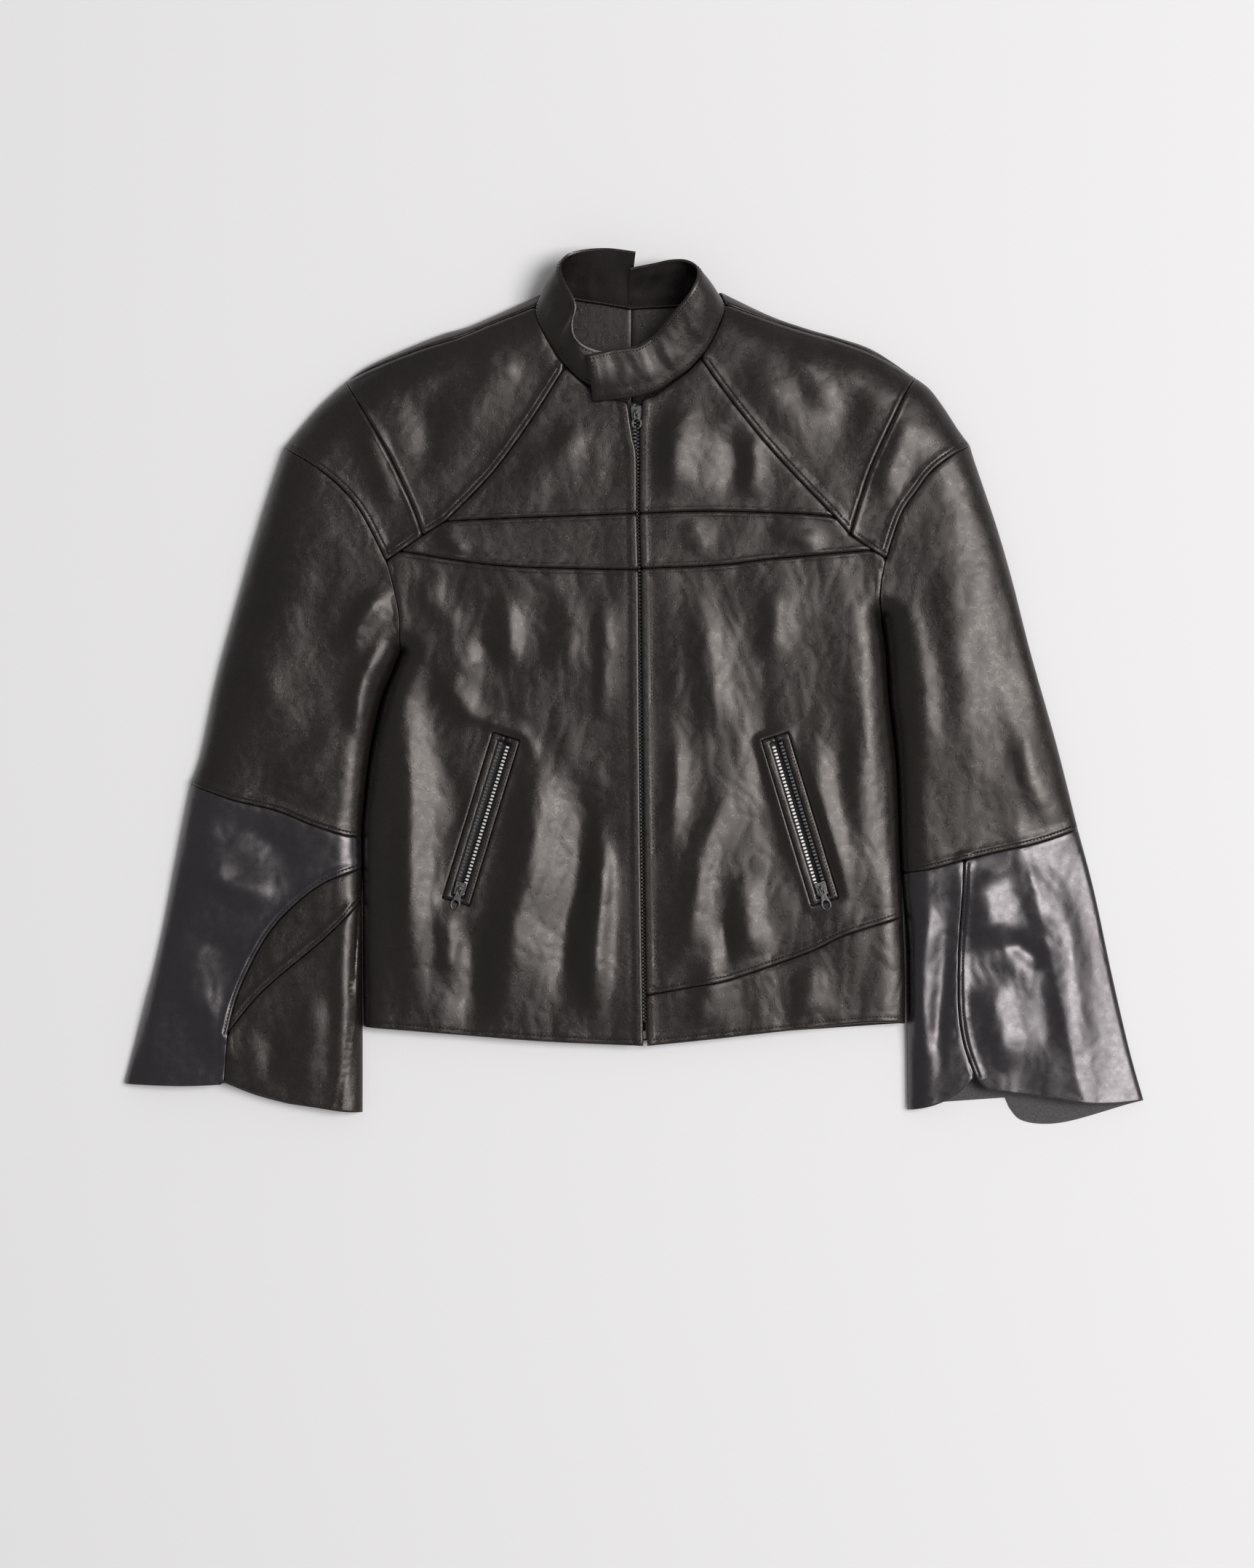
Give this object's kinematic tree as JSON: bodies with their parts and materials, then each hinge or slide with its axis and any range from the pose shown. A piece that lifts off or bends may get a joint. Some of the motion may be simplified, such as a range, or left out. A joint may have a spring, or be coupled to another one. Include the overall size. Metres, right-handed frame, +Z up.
{
  "type": "leather jacket",
  "caption": "Short boxy leather jacket laid flat, with a stand collar, snap tab, full front zip, slanted zip pockets, panelled shoulders and flared cuffs.",
  "frame": {"origin": "under the middle of the jacket's bounding box, on the surface it lies on", "axes": "+X to the wearer's left, +Y to the collar, +Z up, out of the zip side"},
  "size_m": [0.9292, 0.7912, 0.0522],
  "materials": {
    "grained_leather": "satin, fine pebble grain",
    "smooth_leather": "smooth, glossier",
    "suede_lining": "suede flesh side, matt",
    "zip_tape": "woven, matt",
    "dark_metal": "gunmetal",
    "bright_metal": "polished nickel"
  },
  "bodies": {
    "jacket_body": {"back_right_panel": "grained_leather", "back_left_panel": "grained_leather", "right_back_yoke": "grained_leather", "right_shoulder_panel": "grained_leather", "right_shoulder_cap": "grained_leather", "right_upper_front": "grained_leather", "right_chest_band": "grained_leather", "right_lower_front": "grained_leather", "right_front_facing": "suede_lining", "right_pocket_inner_welt": "grained_leather", "right_pocket_outer_welt": "grained_leather", "right_pocket_inner_teeth": "bright_metal", "right_pocket_outer_teeth": "dark_metal", "right_pocket_inner_tape": "zip_tape", "right_pocket_outer_tape": "zip_tape", "right_pocket_bag": "suede_lining", "front_zip_right_teeth": "dark_metal", "front_zip_right_tape": "zip_tape", "collar_right_half": "grained_leather", "left_back_yoke": "grained_leather", "left_shoulder_panel": "grained_leather", "left_shoulder_cap": "grained_leather", "left_upper_front": "grained_leather", "left_chest_band": "grained_leather", "left_lower_front": "grained_leather", "left_front_facing": "suede_lining", "left_pocket_inner_welt": "grained_leather", "left_pocket_outer_welt": "grained_leather", "left_pocket_inner_teeth": "bright_metal", "left_pocket_outer_teeth": "dark_metal", "left_pocket_inner_tape": "zip_tape", "left_pocket_outer_tape": "zip_tape", "left_pocket_bag": "suede_lining", "front_zip_left_teeth": "dark_metal", "front_zip_left_tape": "zip_tape", "collar_left_half": "grained_leather", "left_hem_panel": "grained_leather", "front_zip_pin": "dark_metal", "front_zip_box": "dark_metal", "snap_socket": "bright_metal"},
    "front_slider_body": {"front_slider": "dark_metal"},
    "front_pull_body": {"front_pull": "dark_metal"},
    "right_pocket_slider_body": {"right_pocket_slider": "dark_metal"},
    "right_pocket_pull_body": {"right_pocket_pull": "dark_metal"},
    "left_pocket_slider_body": {"left_pocket_slider": "dark_metal"},
    "left_pocket_pull_body": {"left_pocket_pull": "dark_metal"},
    "collar_tab_body": {"collar_tab": "grained_leather", "snap_stud": "bright_metal"},
    "right_sleeve_body": {"right_sleeve_upper": "grained_leather", "right_sleeve_under": "grained_leather", "right_cuff_outer": "smooth_leather", "right_cuff_crescent": "grained_leather", "right_cuff_inner": "grained_leather", "right_cuff_back": "smooth_leather"},
    "left_sleeve_body": {"left_sleeve_upper": "grained_leather", "left_sleeve_under": "grained_leather", "left_cuff_front_inner": "smooth_leather", "left_cuff_front_outer": "smooth_leather", "left_cuff_back": "smooth_leather"}
  },
  "joints": [
    {"name": "front_slider_slide", "type": "slide", "parent": "jacket_body", "child": "front_slider_body", "axis": [0.0137, -0.9998, -0.0171], "range_m": [0, 0.54]},
    {"name": "front_pull_hinge", "type": "hinge", "parent": "front_slider_body", "child": "front_pull_body", "pos_m": [0.00162, 0.24897, 0.02954], "axis": [-0.9999, -0.0137, -0.0002], "range_deg": [0, 110]},
    {"name": "right_pocket_slider_slide", "type": "slide", "parent": "jacket_body", "child": "right_pocket_slider_body", "axis": [0.2923, 0.9562, 0.0164], "range_m": [0, 0.13]},
    {"name": "right_pocket_pull_hinge", "type": "hinge", "parent": "right_pocket_slider_body", "child": "right_pocket_pull_body", "pos_m": [-0.15829, -0.18214, 0.02215], "axis": [-0.9563, 0.2923, 0.005], "range_deg": [0, 165]},
    {"name": "left_pocket_slider_slide", "type": "slide", "parent": "jacket_body", "child": "left_pocket_slider_body", "axis": [-0.2923, 0.9562, 0.0164], "range_m": [0, 0.13]},
    {"name": "left_pocket_pull_hinge", "type": "hinge", "parent": "left_pocket_slider_body", "child": "left_pocket_pull_body", "pos_m": [0.16929, -0.18214, 0.02215], "axis": [-0.9563, -0.2923, -0.005], "range_deg": [0, 165]},
    {"name": "collar_tab_hinge", "type": "hinge", "parent": "jacket_body", "child": "collar_tab_body", "pos_m": [0.0254, 0.2716, 0.0312], "axis": [-0.1693, 0.9523, 0.2539], "range_deg": [0, 100]},
    {"name": "right_sleeve_swing", "type": "hinge", "parent": "jacket_body", "child": "right_sleeve_body", "pos_m": [-0.319, 0.219, 0.01], "axis": [0, 0, -1], "range_deg": [0, 20]},
    {"name": "left_sleeve_swing", "type": "hinge", "parent": "jacket_body", "child": "left_sleeve_body", "pos_m": [0.306, 0.221, 0.01], "axis": [0, 0, 1], "range_deg": [0, 20]}
  ]
}
